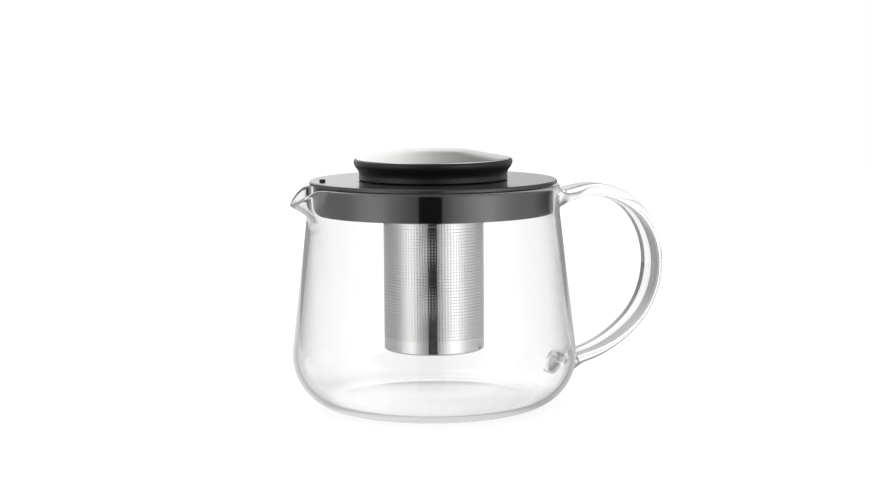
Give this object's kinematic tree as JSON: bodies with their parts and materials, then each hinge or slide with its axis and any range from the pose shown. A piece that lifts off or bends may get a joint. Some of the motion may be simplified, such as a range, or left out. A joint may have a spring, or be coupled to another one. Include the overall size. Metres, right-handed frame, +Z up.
{
  "type": "teapot",
  "caption": "Clear glass teapot with strap handle and pouring lip, closed by a flat black plate that holds a lift-out perforated steel strainer under a steel-capped lid.",
  "frame": {"origin": "centre of the jug's flat base, on the surface it stands on", "axes": "+Z up along the jug's axis, +X towards the handle, -X towards the spout"},
  "size_m": [0.1968, 0.1392, 0.1253],
  "materials": {
    "clear_glass": "clear, fire polished",
    "satin_plastic": "black, fine satin",
    "black_silicone": "black, smooth",
    "stainless_sheet": "bright rolled",
    "grip_rubber": "black, soft touch",
    "satin_steel": "fine satin"
  },
  "bodies": {
    "jug": {"glass_jug": "clear_glass", "glass_handle": "clear_glass"},
    "holder": {"lid_plate": "satin_plastic", "strainer_seat": "satin_plastic", "neck_collar": "black_silicone", "vent_bush": "black_silicone"},
    "strainer": {"strainer_sleeve": "stainless_sheet", "strainer_cup": "stainless_sheet", "strainer_flange": "stainless_sheet"},
    "lid": {"grip_ring": "grip_rubber", "steel_cap": "satin_steel", "lid_core": "satin_plastic", "lid_plug": "satin_plastic", "lid_seal": "black_silicone"}
  },
  "joints": [
    {"name": "holder_lift", "type": "slide", "parent": "jug", "child": "holder", "axis": [0, 0, 1], "range_m": [0, 0.09]},
    {"name": "strainer_lift", "type": "slide", "parent": "holder", "child": "strainer", "axis": [0, 0, 1], "range_m": [0, 0.09]},
    {"name": "lid_lift", "type": "slide", "parent": "strainer", "child": "lid", "axis": [0, 0, 1], "range_m": [0, 0.04]}
  ]
}
